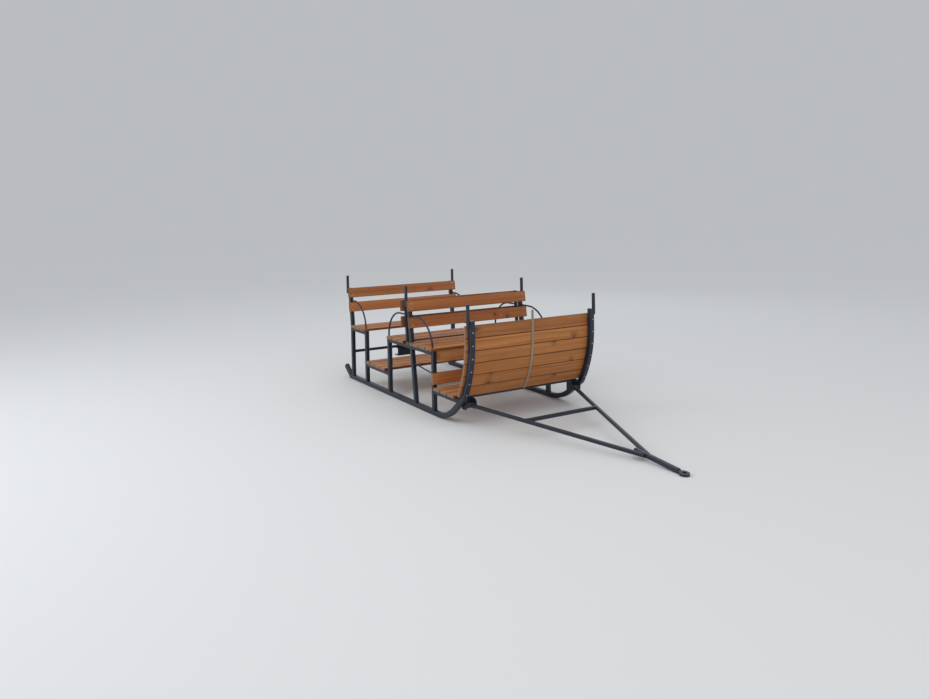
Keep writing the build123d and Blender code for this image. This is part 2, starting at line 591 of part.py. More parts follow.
pin_outer_y = -(RUNNER_INNER_Y - PIN_CLEARANCE)
pin_inner_y = -(RUNNER_INNER_Y - EAR_SPAN)
pin_side = Plane(origin=(HINGE_X, pin_outer_y, HINGE_Z), x_dir=(1, 0, 0), z_dir=(0, 1, 0))
head_side = Plane(origin=(HINGE_X, pin_inner_y, HINGE_Z), x_dir=(1, 0, 0), z_dir=(0, 1, 0))
pin_shank = extrude(pin_side * Circle(PIN / 2), amount=pin_inner_y - pin_outer_y)
pin_head = extrude(head_side * Circle(PIN_HEAD / 2), amount=PIN_HEAD_LENGTH)
parts["drawbar_hinge_pins"] = both_sides(pin_shank + pin_head)

# Drawbar: two bushes, two converging tubes, a cross brace, a tongue and a coupling eye
bush_half = EAR_SPAN / 2 - EAR_PLATE - BUSH_SIDE_CLEARANCE
bush_side = Plane(origin=(HINGE_X, -HINGE_Y - bush_half, HINGE_Z), x_dir=(1, 0, 0), z_dir=(0, 1, 0))
bush_solid = extrude(bush_side * Circle(BUSH / 2), amount=2 * bush_half)
bush_bore = extrude(bush_side * Circle(PIN / 2 + PIN_CLEARANCE), amount=2 * bush_half)
parts["drawbar_bushes"] = both_sides(bush_solid - bush_bore)

tongue_end = DRAWBAR_LENGTH - EYE_SHANK_LENGTH
parts["drawbar_tongue"] = tube(
    drawbar_point(DRAWBAR_TUBE_END - TONGUE_LAP, 0), drawbar_point(tongue_end, 0), TONGUE_TUBE, TONGUE_TUBE
)
side_meet_y = TONGUE_TUBE / 2
side_tube = tube(
    drawbar_point(0, -HINGE_Y),
    drawbar_point(DRAWBAR_TUBE_END, -side_meet_y),
    DRAWBAR_TUBE,
    DRAWBAR_TUBE,
    side=tuple(drawbar_up),
)
tongue_side = drawbar_plane * Pos(0, 0, 0) * Box(4 * DRAWBAR_LENGTH, TONGUE_TUBE, 4 * TONGUE_TUBE)
side_tube = side_tube - bush_solid - tongue_side
parts["drawbar_tube_right"] = side_tube
parts["drawbar_tube_left"] = mirror(side_tube, about=Plane.XZ)

brace_share = BRACE_FROM_HINGE / DRAWBAR_TUBE_END
brace_y = HINGE_Y - (HINGE_Y - side_meet_y) * brace_share
brace = tube(
    drawbar_point(BRACE_FROM_HINGE, -brace_y),
    drawbar_point(BRACE_FROM_HINGE, brace_y),
    DRAWBAR_TUBE,
    DRAWBAR_TUBE,
    side=tuple(drawbar_up),
)
parts["drawbar_cross_brace"] = brace - side_tube - mirror(side_tube, about=Plane.XZ)

eye_profile = Pos(DRAWBAR_LENGTH, 0) * Circle(EYE_OUTER / 2)
eye_profile += Pos(DRAWBAR_LENGTH - EYE_SHANK_LENGTH / 2, 0) * Rectangle(EYE_SHANK_LENGTH, EYE_SHANK)
eye_profile -= Pos(DRAWBAR_LENGTH, 0) * Circle(EYE_BORE / 2)
parts["coupling_eye"] = extrude(drawbar_plane * eye_profile, amount=EYE_THICKNESS / 2, both=True)

os.makedirs("parts", exist_ok=True)
for name, shape in parts.items():
    solids = [Pos(-MIDDLE_X, 0, 0) * solid for solid in shape.solids()]
    whole = solids[0] if len(solids) == 1 else Compound(solids)
    export_step(whole, os.path.join("parts", name + ".step"))

print("middle of the length", round(MIDDLE_X, 3), "drawbar drop", round(REST_DROP, 4))
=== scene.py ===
import math
import random
from collections import namedtuple

import bmesh
import bpy
from mathutils import Matrix, Vector, geometry


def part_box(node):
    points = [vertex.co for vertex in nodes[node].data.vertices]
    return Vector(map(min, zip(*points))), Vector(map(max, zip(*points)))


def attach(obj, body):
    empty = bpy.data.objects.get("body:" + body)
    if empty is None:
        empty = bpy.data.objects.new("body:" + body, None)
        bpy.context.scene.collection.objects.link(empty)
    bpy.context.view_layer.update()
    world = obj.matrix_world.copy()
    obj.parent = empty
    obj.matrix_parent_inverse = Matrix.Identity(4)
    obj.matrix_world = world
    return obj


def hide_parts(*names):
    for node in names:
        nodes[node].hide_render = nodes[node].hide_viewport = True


# The looks of the tow-behind passenger sleigh. Boards and tubes with eased edges take the place of
# the frame's own, screws, weld beads and hinge bolts are added, and then come floor, light and
# camera. Lengths are in metres, and colours in linear red, green and blue.

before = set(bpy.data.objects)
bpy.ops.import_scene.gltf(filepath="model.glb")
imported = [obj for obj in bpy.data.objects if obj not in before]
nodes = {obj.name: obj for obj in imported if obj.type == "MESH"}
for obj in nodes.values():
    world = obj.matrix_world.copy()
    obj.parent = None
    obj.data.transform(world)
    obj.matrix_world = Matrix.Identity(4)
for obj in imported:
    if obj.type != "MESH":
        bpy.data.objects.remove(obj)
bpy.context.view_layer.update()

UP = Vector((0.0, 0.0, 1.0))
AHEAD = Vector((1.0, 0.0, 0.0))
LEFT = Vector((0.0, 1.0, 0.0))

# The right side and the left side
SIDES = (-1, 1)


def side_reach(node_name):
    """How near to the sleigh's middle plane a node on both sides comes, and how far from it."""
    reaches = [abs(vert.co.y) for vert in nodes[node_name].data.vertices]
    return min(reaches), max(reaches)


# Materials

BLACK = (0.0, 0.0, 0.0)
WHITE = (1.0, 1.0, 1.0)


class Graph:
    """Small helper that adds nodes and links to one material."""

    def __init__(self, name):
        self.material = bpy.data.materials.new(name)
        self.material.use_nodes = True
        self.tree = self.material.node_tree
        self.shader = self.tree.nodes["Principled BSDF"]

    def node(self, kind, inputs=None, **settings):
        made = self.tree.nodes.new(kind)
        for key, value in settings.items():
            setattr(made, key, value)
        for key, value in (inputs or {}).items():
            self.put(made.inputs[key], value)
        return made

    def put(self, socket, value):
        if isinstance(value, bpy.types.NodeSocket):
            self.tree.links.new(value, socket)
        else:
            socket.default_value = value

    def set(self, **values):
        """Sets the shader's own sockets, with an underscore for each space in a name."""
        for key, value in values.items():
            self.put(self.shader.inputs[key.replace("_", " ")], value)

    def attribute(self, name, output="Vector"):
        return self.node("ShaderNodeAttribute", attribute_name=name).outputs[output]

    def object_place(self):
        return self.node("ShaderNodeTexCoord").outputs["Object"]

    def math(self, operation, a, b=0.0, clamp=False):
        made = self.node("ShaderNodeMath", operation=operation, use_clamp=clamp)
        self.put(made.inputs[0], a)
        self.put(made.inputs[1], b)
        return made.outputs[0]

    def add(self, a, b):
        return self.math("ADD", a, b)

    def times(self, a, b):
        return self.math("MULTIPLY", a, b)

    def mix(self, share, a, b, blend="MIX"):
        made = self.node("ShaderNodeMix", data_type="RGBA", blend_type=blend)
        self.put(made.inputs[0], share)
        self.put(made.inputs[6], a)
        self.put(made.inputs[7], b)
        return made.outputs[2]

    def tinted(self, colour, tint, share=1.0):
        """The colour times a tint, as far as the share goes."""
        return self.mix(share, colour, tint, "MULTIPLY")

    def ramp(self, value, stops):
        made = self.node("ShaderNodeValToRGB")
        elements = made.color_ramp.elements
        while len(elements) < len(stops):
            elements.new(0.5)
        for element, (place, colour) in zip(elements, stops):
            element.position = place
            element.color = (*colour, 1.0)
        self.put(made.inputs[0], value)
        return made.outputs[0]

    def noise(self, vector, scale=1.0, detail=3.0, roughness=0.5):
        inputs = {"Vector": vector, "Scale": scale, "Detail": detail, "Roughness": roughness}
        return self.node("ShaderNodeTexNoise", inputs).outputs["Fac"]

    def bump(self, height, distance, strength):
        inputs = {"Height": height, "Distance": distance, "Strength": strength}
        return self.node("ShaderNodeBump", inputs).outputs[0]

    def vector(self, x, y, z):
        return self.node("ShaderNodeCombineXYZ", {"X": x, "Y": y, "Z": z}).outputs[0]

    def parts_of(self, vector):
        made = self.node("ShaderNodeSeparateXYZ", {"Vector": vector})
        return made.outputs[0], made.outputs[1], made.outputs[2]

    def fall(self, value, edge, soft):
        """One where the value is below the edge, falling to nothing over a soft width."""
        room = self.math("SUBTRACT", self.add(edge, soft), value)
        return self.math("DIVIDE", room, soft, clamp=True)

    def scaled(self, vector, scale=(1.0, 1.0, 1.0), move=(0.0, 0.0, 0.0)):
        inputs = {"Vector": vector, "Scale": scale, "Location": move}
        return self.node("ShaderNodeMapping", inputs).outputs[0]


# Stained softwood: its colours, and the tones that patterns give it, from their low to high values
WOOD_LIGHT = (0.420, 0.172, 0.052)
WOOD_MIDDLE = (0.350, 0.134, 0.038)
WOOD_DARK = (0.255, 0.088, 0.025)
WOOD_KNOT = (0.130, 0.042, 0.015)
WOOD_END = (0.240, 0.150, 0.090)
WOOD_END_DARK = (0.168, 0.105, 0.063)
RING_TONES = ((0.28, WOOD_DARK), (0.48, WOOD_MIDDLE), (0.66, WOOD_LIGHT))
BOARD_TONES = ((0.0, (0.84, 0.80, 0.76)), (0.5, (0.96, 0.95, 0.94)), (1.0, (1.10, 1.12, 1.12)))
BLOTCH_TONES = ((0.30, (0.84, 0.80, 0.76)), (0.68, (1.12, 1.12, 1.10)))
FLECK_TONES = ((0.58, WHITE), (0.72, (0.74, 0.68, 0.62)))
# The narrow sides' tones hold stain and dirt, and painted shade of the gaps between the boards
NARROW_SIDE_STAIN_AND_SHADE_TONES = ((0.90, WHITE), (0.97, (0.36, 0.29, 0.25)))
END_TONES = ((0.35, WOOD_END_DARK), (0.65, WOOD_END))
BLOTCH_SHARE = 0.8
FLECK_SHARE = 0.5
HALO_SHARE = 0.6
KNOT_SHARE = 0.8
NARROW_SIDE_STAIN_AND_SHADE_SHARE = 0.9
END_SHARE = 0.8

# The end grain lies within this share of half a board's length
END_REACH = 0.001

# Patterns in turns to the metre along, across and through a board
SWAY_TURNS = (1.1, 5.0, 5.0)
FINE_TURNS = (6.0, 420.0, 420.0)
FLECK_TURNS = (16.0, 190.0, 190.0)
BLOTCH_TURNS = (1.6, 9.0, 9.0)
BLOTCH_START = (3.0, 1.0, 2.0)
END_TURNS_ACROSS = 60.0
END_TURNS_DEEP = 240.0

# Knots: the cells in a metre, the share of cells that hold one, and sizes as shares of a cell.
# The halo's reach is a factor on the knot's own.
KNOT_CELLS = 7.0
KNOTTY_CELLS = 0.2
KNOT_LEAST = 0.05
KNOT_SPREAD = 0.09
KNOT_EDGE = 0.03
KNOT_WOBBLE = 0.05
WOBBLE_TURNS = 90.0
HALO_REACH = 2.2
HALO_EDGE = 0.16

# Growth rings: turns to the metre, how far the sway, a knot and the board's depth move them, and
# the shares that they and the fine grain have in the tone
RING_TURNS_ALONG = 0.35
RING_TURNS_ACROSS = 62.0
RING_SWAY = 0.05
RING_PUSH = 0.018
RING_SLANT = 0.8
RING_SHARE = 0.75
FINE_SHARE = 0.25

# How rough, glossy and uneven the planed face is
WOOD_ROUGHNESS = 0.44
FINE_ROUGHNESS = 0.22
WOOD_SPECULAR = 0.4
RING_RISE = 0.6
FINE_RISE = 0.5
KNOT_DIP = 0.5


def knots(graph, grain, along, across):
    """The core of each knot, and the halo around it that pushes the growth rings aside.

    A few cells of a flat pattern hold one knot each.
    """
    flat = graph.vector(graph.times(along, KNOT_CELLS), graph.times(across, KNOT_CELLS), 0.0)
    inputs = {"Vector": flat, "Scale": 1.0, "Randomness": 1.0}
    cells = graph.node("ShaderNodeTexVoronoi", inputs, voronoi_dimensions="2D")
    chance, size = graph.parts_of(cells.outputs["Color"])[:2]
    chosen = graph.math("GREATER_THAN", chance, 1.0 - KNOTTY_CELLS)
    reach = graph.add(KNOT_LEAST, graph.times(size, KNOT_SPREAD))
    wobble = graph.times(graph.noise(grain, WOBBLE_TURNS, detail=2.0), KNOT_WOBBLE)
    distance = graph.add(cells.outputs["Distance"], wobble)
    core = graph.times(graph.fall(distance, reach, KNOT_EDGE), chosen)
    halo = graph.times(graph.fall(distance, graph.times(reach, HALO_REACH), HALO_EDGE), chosen)
    return core, halo


def growth_rings(graph, grain, along, across, deep, halo, seed):
    """The growth rings where the board's face cuts them."""
    sway = graph.noise(graph.scaled(grain, SWAY_TURNS), detail=2.0)
    place = graph.add(across, graph.times(sway, RING_SWAY))
    place = graph.add(place, graph.times(halo, RING_PUSH))
    place = graph.add(place, graph.times(deep, RING_SLANT))
    cut = graph.vector(graph.times(along, RING_TURNS_ALONG), graph.times(place, RING_TURNS_ACROSS), seed)
    return graph.noise(cut, detail=2.0, roughness=0.55)


def stained_wood(name):
    """Planed softwood with brown stain.

    The grain attribute holds each board's own length, width and depth in metres, moved by chance,
    and the rim attribute the same three as shares of half the board, so the edges are at 1. The
    board attribute is a number by chance, and tint and end_tint are factors on the colours.
    """
    graph = Graph(name)
    grain = graph.attribute("grain")
    seed = graph.attribute("board", "Fac")
    along, across, deep = graph.parts_of(grain)
    rim_along, rim_across = graph.parts_of(graph.attribute("rim"))[:2]
    core, halo = knots(graph, grain, along, across)
    rings = growth_rings(graph, grain, along, across, deep, halo, seed)
    fine = graph.noise(graph.scaled(grain, FINE_TURNS), roughness=0.6)
    tone = graph.add(graph.times(rings, RING_SHARE), graph.times(fine, FINE_SHARE))
    colour = graph.ramp(tone, RING_TONES)

    # Each board has its own shade, and the stain takes unevenly along it
    colour = graph.tinted(colour, graph.ramp(seed, BOARD_TONES))
    colour = graph.tinted(colour, graph.attribute("tint", "Color"))
    blotches = graph.noise(graph.scaled(grain, BLOTCH_TURNS, BLOTCH_START))
    colour = graph.tinted(colour, graph.ramp(blotches, BLOTCH_TONES), BLOTCH_SHARE)
    flecks = graph.noise(graph.scaled(grain, FLECK_TURNS), detail=2.0)
    colour = graph.tinted(colour, graph.ramp(flecks, FLECK_TONES), FLECK_SHARE)
    colour = graph.mix(graph.times(halo, HALO_SHARE), colour, (*WOOD_DARK, 1.0))
    colour = graph.mix(graph.times(core, KNOT_SHARE), colour, (*WOOD_KNOT, 1.0))

    # The narrow sides and the eased edges are darker: partly stain and dirt gathered there, partly
    # painted shade of the gaps between the boards
    narrow_side_stain_and_shade = graph.ramp(graph.math("ABSOLUTE", rim_across), NARROW_SIDE_STAIN_AND_SHADE_TONES)
    colour = graph.tinted(colour, narrow_side_stain_and_shade, NARROW_SIDE_STAIN_AND_SHADE_SHARE)

    # End grain takes more stain and weathers grey
    to_end = graph.math("SUBTRACT", 1.0, graph.math("ABSOLUTE", rim_along))
    end = graph.fall(to_end, END_REACH, END_REACH)
    cut = graph.vector(0.0, graph.times(across, END_TURNS_ACROSS), graph.times(deep, END_TURNS_DEEP))
    end_colour = graph.ramp(graph.noise(cut), END_TONES)
    end_colour = graph.tinted(end_colour, graph.attribute("end_tint", "Color"))
    colour = graph.mix(graph.times(end, END_SHARE), colour, end_colour)

    height = graph.add(graph.times(rings, RING_RISE), graph.times(fine, FINE_RISE))
    height = graph.math("SUBTRACT", height, graph.times(core, KNOT_DIP))
    graph.set(
        Base_Color=colour,
        Roughness=graph.add(WOOD_ROUGHNESS, graph.times(fine, FINE_ROUGHNESS)),
        Specular_IOR_Level=WOOD_SPECULAR,
        Normal=graph.bump(height, distance=0.0011, strength=0.5),
    )
    return graph.material


# Paint: two shades in clouds, with spots that are rubbed. The dash's centre strip is pale.
PAINT_DARK = (0.010, 0.014, 0.025)
PAINT_LIGHT = (0.020, 0.028, 0.047)
STRIP_DARK = (0.25, 0.205, 0.150)
STRIP_LIGHT = (0.31, 0.260, 0.200)
RUBBED_PAINT = (0.12, 0.125, 0.13)
CLOUD_STEPS = ((0.35, BLACK), (0.7, WHITE))
SCUFF_STEPS = ((0.66, BLACK), (0.74, WHITE))
SCUFF_START = (4.0, 2.0, 1.0)
SCUFF_SHARE = 0.25
PAINT_ROUGHNESS = 0.26
DUST_ROUGHNESS = 0.14
PAINT_SPECULAR = 0.42
PEEL_RISE = 0.5
GRIT_RISE = 0.5


def painted_steel(name, dark, light):
    """Dark brushed-on paint with faint orange peel, dust and rubbed spots."""
    graph = Graph(name)
    place = graph.object_place()
    cloud = graph.noise(place, scale=5.0, detail=4.0, roughness=0.55)
    grit = graph.noise(place, scale=130.0, roughness=0.6)
    peel = graph.noise(place, scale=420.0, detail=2.0)
    scuffs = graph.noise(graph.scaled(place, move=SCUFF_START), scale=34.0, detail=5.0, roughness=0.7)
    colour = graph.mix(graph.ramp(cloud, CLOUD_STEPS), (*dark, 1.0), (*light, 1.0))
    scuffed = graph.times(graph.ramp(scuffs, SCUFF_STEPS), SCUFF_SHARE)
    height = graph.add(graph.times(peel, PEEL_RISE), graph.times(grit, GRIT_RISE))
    graph.set(
        Base_Color=graph.mix(scuffed, colour, (*RUBBED_PAINT, 1.0)),
        Roughness=graph.add(PAINT_ROUGHNESS, graph.times(graph.add(cloud, grit), DUST_ROUGHNESS)),
        Specular_IOR_Level=PAINT_SPECULAR,
        Normal=graph.bump(height, distance=0.0004, strength=0.35),
    )
    return graph.material


# Bare metal: zinc on the screws, and the darker steel of the hinge bolts
ZINC_COLOUR = (0.55, 0.55, 0.54)
ZINC_ROUGHNESS = 0.35
BOLT_COLOUR = (0.10, 0.10, 0.10)
BOLT_ROUGHNESS = 0.45
DULL_FACTOR = 0.6
DULL_ROUGHNESS = 0.2
BARE_METALLIC = 0.85


def bare_metal(name, colour, roughness):
    """Metal that is dulled in clouds."""
    graph = Graph(name)
    place = graph.object_place()
    cloud = graph.noise(place, scale=60.0, detail=4.0, roughness=0.6)
    dull = [part * DULL_FACTOR for part in colour]
    graph.set(
        Base_Color=graph.mix(cloud, (*colour, 1.0), (*dull, 1.0)),
        Metallic=BARE_METALLIC,
        Roughness=graph.add(roughness, graph.times(cloud, DULL_ROUGHNESS)),
        Normal=graph.bump(graph.noise(place, scale=700.0, detail=2.0), distance=0.0002, strength=0.3),
    )
    return graph.material


wood = stained_wood("stained_boards")
steel = painted_steel("painted_steel", PAINT_DARK, PAINT_LIGHT)
strip_paint = painted_steel("strip_paint", STRIP_DARK, STRIP_LIGHT)
zinc = bare_metal("zinc_screws", ZINC_COLOUR, ZINC_ROUGHNESS)
dull_steel = bare_metal("dull_steel", BOLT_COLOUR, BOLT_ROUGHNESS)

# Meshes

MERGE_DISTANCE = 0.00005
FLAT_ANGLE = math.radians(1)
SHARP_ANGLE = math.radians(25)


def mesh_object(name, bm, material):
    mesh = bpy.data.meshes.new(name)
    bm.to_mesh(mesh)
    bm.free()
    mesh.materials.append(material)
    obj = bpy.data.objects.new(name, mesh)
    bpy.context.scene.collection.objects.link(obj)
    return obj


def even_normals(mesh):
    """Smooth shading in which the large faces stay flat and only the eased edges turn."""
    normals = [Vector() for vert in mesh.vertices]
    for face in mesh.polygons:
        face.use_smooth = True
        for index in face.vertices:
            normals[index] += face.normal * face.area
    mesh.normals_split_custom_set_from_vertices([normal.normalized() for normal in normals])


def merged_mesh(node_name):
    """The node's mesh with its flat faces whole, as a bmesh in world metres."""
    bm = bmesh.new()
    bm.from_mesh(nodes[node_name].data)
    bm.transform(nodes[node_name].matrix_world)
    bmesh.ops.remove_doubles(bm, verts=bm.verts, dist=MERGE_DISTANCE)
    bmesh.ops.dissolve_limit(bm, angle_limit=FLAT_ANGLE, verts=bm.verts, edges=bm.edges)
    bm.normal_update()
    return bm


def eased_mesh(node_name, offset):
    """The node's mesh with its sharp edges rounded off."""
    bm = merged_mesh(node_name)
    whole = [edge for edge in bm.edges if len(edge.link_faces) == 2]
    bmesh.ops.bevel(
        bm,
        geom=[edge for edge in whole if edge.calc_face_angle() > SHARP_ANGLE],
        offset=offset,
        offset_type="OFFSET",
        segments=2,
        profile=0.6,
        affect="EDGES",
        clamp_overlap=True,
    )
    return bm


def vertex_ring(bm, centre, first, second, radius, sides):
    """New vertices around a centre, in the plane of two directions."""
    ring = []
    for step in range(sides):
        angle = 2 * math.pi * step / sides
        outward = math.cos(angle) * first + math.sin(angle) * second
        ring.append(bm.verts.new(centre + radius * outward))
    return ring


def bridge(bm, ring, other):
    """Faces between two rings."""
    for step in range(len(ring)):
        after = (step + 1) % len(ring)
        bm.faces.new((ring[step], ring[after], other[after], other[step]))


def closed_row(bm, rings):
    """Faces over a row of rings, closed at both ends."""
    bm.faces.new(rings[0][::-1])
    for ring, other in zip(rings, rings[1:]):
        bridge(bm, ring, other)
    bm.faces.new(rings[-1])


# Screws: the way that their heads face, how far the heads stand from the middle of the board, and
# how far apart the two of a pair are, or nothing for a single screw. The dash is screwed from the
# front, through its rails, with a small hollow between each flat board and the curved rail.

Screws = namedtuple("Screws", "way stand_off pair")

seat_low, seat_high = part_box("rear_seat_boards")
runner_inner_y, runner_outer_y = side_reach("runner_right")
RAIL_MIDDLE_Y = sum(side_reach("rear_seat_rails")) / 2
BOARD_HALF_THICKNESS = (seat_high[2] - seat_low[2]) / 2
DASH_HOLLOW = 0.0012
DASH_STAND_OFF = BOARD_HALF_THICKNESS + DASH_HOLLOW + runner_outer_y - runner_inner_y
SEAT_SCREWS = Screws(way=(0, 0, 1), stand_off=BOARD_HALF_THICKNESS, pair=0.050)
FORWARD_SCREWS = Screws(way=(1, 0, 0), stand_off=BOARD_HALF_THICKNESS, pair=0.045)
REARWARD_SCREWS = Screws(way=(-1, 0, 0), stand_off=BOARD_HALF_THICKNESS, pair=0.045)
DASH_SCREWS = Screws(way=(1, 0, -0.3), stand_off=DASH_STAND_OFF, pair=0.0)

# A screw head's rings, from its foot to its recess: shares of its radius and of its height
HEAD_RINGS = ((1.0, -0.2), (1.0, 0.25), (0.86, 0.62), (0.55, 0.92), (0.42, 1.0), (0.34, 0.45))
HEAD_RADIUS = 0.0058
HEAD_HEIGHT = 0.0026
HEAD_SIDES = 12

# The foot of an armrest is its lowest slice, FOOT_REACH high. It stands on a rail, and a screw that
# faces up keeps FOOT_ROOM away from its middle.
ARMREST_NODES = ("rear_armrests", "forward_armrests", "rearward_armrests")
FOOT_REACH = 0.002
FOOT_ROOM = 0.018
FACES_UP = 0.9


def armrest_feet():
    """Middles of the armrests' feet, seen from above."""
    feet = []
    for node_name in ARMREST_NODES:
        points = [vert.co for vert in nodes[node_name].data.vertices]
        lowest = min(point.z for point in points)
        foot = [point for point in points if point.z < lowest + FOOT_REACH and point.y > 0]
        middle_x = sum(point.x for point in foot) / len(foot)
        feet += [Vector((middle_x, side * RAIL_MIDDLE_Y)) for side in SIDES]
    return feet


def clear_of_feet(place, feet):
    return all((place.xy - foot).length >= FOOT_ROOM for foot in feet)


def screw_places(board, screws, feet):
    """Where the screws of one board stand, and the way that they face."""
    facing = board.deep if board.deep.dot(Vector(screws.way)) > 0 else -board.deep
    steps = (-0.5, 0.5) if screws.pair else (0.0,)
    places = []
    for side in SIDES:
        end = Vector((board.middle.x, side * RAIL_MIDDLE_Y, board.middle.z))
        end += facing * screws.stand_off
        places += [end + board.across * screws.pair * step for step in steps]
    if facing.z > FACES_UP:
        places = [place for place in places if clear_of_feet(place, feet)]
    return places, facing


def screw_head(bm, place, facing):
    """A low round head with a recess in its middle."""
    turn = facing.to_track_quat("Z", "Y")
    first = turn @ AHEAD
    second = turn @ LEFT
    rings = []
    for share, rise in HEAD_RINGS:
        centre = place + facing * HEAD_HEIGHT * rise
        rings.append(vertex_ring(bm, centre, first, second, HEAD_RADIUS * share, HEAD_SIDES))
    closed_row(bm, rings)


# Boards

BoardLie = namedtuple("BoardLie", "middle across deep half_sizes")
BoardLook = namedtuple("BoardLook", "tint end_tint screws")

# The ends of the backrest boards are darker, and the other ends are bare and grey
BARE_END = (1.0, 1.0, 1.0)
DARK_END = (0.34, 0.27, 0.32)

# Factors on the wood's colour for each group of boards, for the stain and, on the rearward backrest,
# painted shade, and how it is screwed
BOARDS = {
    "rear_seat_boards": BoardLook((1.12, 1.10, 1.10), BARE_END, SEAT_SCREWS),
    "rearward_seat_boards": BoardLook((1.12, 1.08, 1.05), BARE_END, SEAT_SCREWS),
    "forward_seat_boards": BoardLook((1.12, 1.10, 1.10), BARE_END, SEAT_SCREWS),
    "rear_deck_boards": BoardLook((1.12, 1.18, 1.30), BARE_END, SEAT_SCREWS),
    "front_deck_boards": BoardLook((1.30, 1.35, 1.50), BARE_END, SEAT_SCREWS),
    "kick_board": BoardLook((1.25, 1.20, 1.35), BARE_END, FORWARD_SCREWS),
    "seat_apron": BoardLook((1.45, 1.85, 2.60), BARE_END, None),
    "rear_backrest_boards": BoardLook((1.18, 1.08, 1.08), DARK_END, FORWARD_SCREWS),
    "forward_backrest_boards": BoardLook((1.14, 1.04, 0.98), DARK_END, FORWARD_SCREWS),
    # The rearward backrest boards are tinted darker as painted shade, for the shade between the two
    # backrests that stand back to back
    "rearward_backrest_boards": BoardLook((0.88, 0.78, 0.78), DARK_END, REARWARD_SCREWS),
    "dash_boards": BoardLook((1.17, 1.14, 1.02), BARE_END, DASH_SCREWS),
}

# How far a board's edges are eased, and how far chance moves its place in the grain
BOARD_EASE = 0.0012
GRAIN_MOVE = 40.0
DEPTH_MOVE = 0.02
BOARD_SEED = 11


def side_view_mean(group):
    """The mean of a group's vertices along X and Z."""
    mean_x = sum(vert.co.x for vert in group) / len(group)
    mean_z = sum(vert.co.z for vert in group) / len(group)
    return mean_x, mean_z


def islands(bm):
    """Groups of vertices that hang together, from the rear to the front and then upwards."""
    groups = []
    met = set()
    for start in bm.verts:
        if start in met:
            continue
        met.add(start)

        # The group grows while the loop walks through it
        group = [start]
        for vert in group:
            others = [edge.other_vert(vert) for edge in vert.link_edges]
            fresh = [other for other in others if other not in met]
            met.update(fresh)
            group += fresh
        groups.append(group)
    groups.sort(key=lambda group: [round(value, 4) for value in side_view_mean(group)])
    return groups


def across_direction(group):
    """The direction of a board's width in side view, from the spread of its vertices."""
    mean_x, mean_z = side_view_mean(group)
    spread_x = sum((vert.co.x - mean_x) ** 2 for vert in group)
    spread_z = sum((vert.co.z - mean_z) ** 2 for vert in group)
    shared = sum((vert.co.x - mean_x) * (vert.co.z - mean_z) for vert in group)
    angle = 0.5 * math.atan2(2 * shared, spread_x - spread_z)
    return Vector((math.cos(angle), 0.0, math.sin(angle)))


def middle_and_half(values):
    return (min(values) + max(values)) / 2, (max(values) - min(values)) / 2


def lie_of(group):
    """How a board lies: its middle, the ways across and through it, and half its sizes."""
    mean_x, mean_z = side_view_mean(group)
    mean = Vector((mean_x, 0.0, mean_z))
    across = across_direction(group)
    deep = across.cross(LEFT)
    across_middle, half_width = middle_and_half([(vert.co - mean).dot(across) for vert in group])
    deep_middle, half_depth = middle_and_half([(vert.co - mean).dot(deep) for vert in group])
    half_length = max(abs(vert.co.y) for vert in group)
    middle = mean + across * across_middle + deep * deep_middle
    return BoardLie(middle, across, deep, (half_length, half_width, half_depth))


def wood_layers(bm):
    """The attributes that the wood reads at each vertex."""
    layers = bm.verts.layers
    return {
        "grain": layers.float_vector.new("grain"),
        "rim": layers.float_vector.new("rim"),
        "board": layers.float.new("board"),
        "tint": layers.float_vector.new("tint"),
        "end_tint": layers.float_vector.new("end_tint"),
    }


def write_layers(layers, group, board, look, rng):
    """Gives one board its own place in the grain, its own shade and its tints."""
    shade = rng.random()
    move = Vector((
        rng.uniform(0, GRAIN_MOVE),
        rng.uniform(0, GRAIN_MOVE),
        rng.uniform(-DEPTH_MOVE, DEPTH_MOVE),
    ))
    for vert in group:
        local = vert.co - board.middle
        place = Vector((vert.co.y, local.dot(board.across), local.dot(board.deep)))
        vert[layers["grain"]] = place + move
        vert[layers["rim"]] = Vector([part / half for part, half in zip(place, board.half_sizes)])
        vert[layers["board"]] = shade
        vert[layers["tint"]] = Vector(look.tint)
        vert[layers["end_tint"]] = Vector(look.end_tint)


feet = armrest_feet()
board_rng = random.Random(BOARD_SEED)
screw_mesh = bmesh.new()
for node_name, look in BOARDS.items():
    bm = eased_mesh(node_name, BOARD_EASE)
    layers = wood_layers(bm)
    for group in islands(bm):
        board = lie_of(group)
        write_layers(layers, group, board, look, board_rng)
        if look.screws:
            places, facing = screw_places(board, look.screws, feet)
            for place in places:
                screw_head(screw_mesh, place, facing)
    piece = mesh_object("wood_" + node_name, bm, wood)
    even_normals(piece.data)
    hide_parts(node_name)
    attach(piece, "sleigh")

heads = mesh_object("screw_heads", screw_mesh, zinc)
even_normals(heads.data)
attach(heads, "sleigh")

# Steel: tubes and plates get eased edges, and round bars keep their own mesh

DRAWBAR_NODES = (
    "drawbar_bushes",
    "drawbar_tongue",
    "drawbar_tube_right",
    "drawbar_tube_left",
    "drawbar_cross_brace",
    "coupling_eye",
)
ROUND_NODES = (
    *ARMREST_NODES,
    "leg_stays",
    "drawbar_bushes",
    "coupling_eye",
    "rear_towing_jaw",
    "drawbar_hinge_brackets",
)
PIN_NODE = "drawbar_hinge_pins"
STRIP_NODE = "dash_centre_strip"
STEEL_EASE = 0.001
ROUND_SHARP_ANGLE = math.radians(38)


def body_name(node_name):
    return "drawbar" if node_name in DRAWBAR_NODES else "sleigh"


